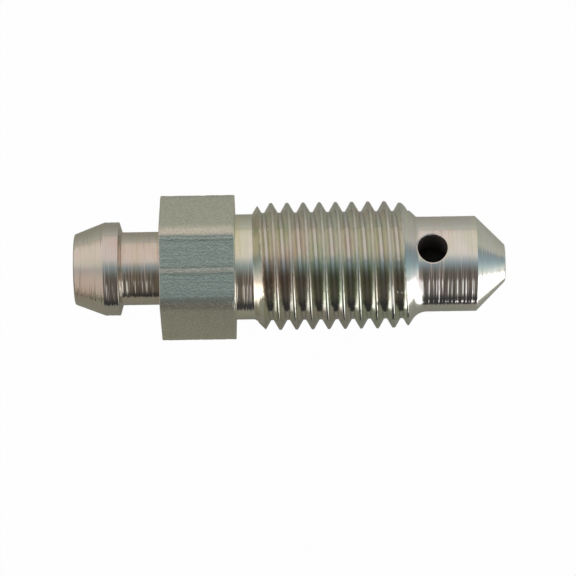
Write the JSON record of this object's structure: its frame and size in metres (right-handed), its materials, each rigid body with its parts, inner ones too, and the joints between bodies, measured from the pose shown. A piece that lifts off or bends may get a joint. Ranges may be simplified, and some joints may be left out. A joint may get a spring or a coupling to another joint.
{
  "type": "brake bleeder screw",
  "caption": "One-piece zinc-plated bleeder screw: barbed hose nipple, neck, hexagon, external thread, plain end with a cross hole, and a seat cone that closes a hydraulic port.",
  "frame": {"origin": "centre of the flat tip face, at the end of the seat cone", "axes": "+X out of the tip along the screw's axis, so the hose nipple is at -X; +Z out of the hexagon's upper flat; the cross hole looks up and a little towards +Y"},
  "size_m": [0.0266, 0.009, 0.008],
  "materials": {
    "zinc_plated_steel": "turned free-cutting steel, zinc plated with a thin iridescent yellowish passivate, satin"
  },
  "bodies": {
    "root": {"bleeder_screw": "zinc_plated_steel"}
  },
  "joints": []
}
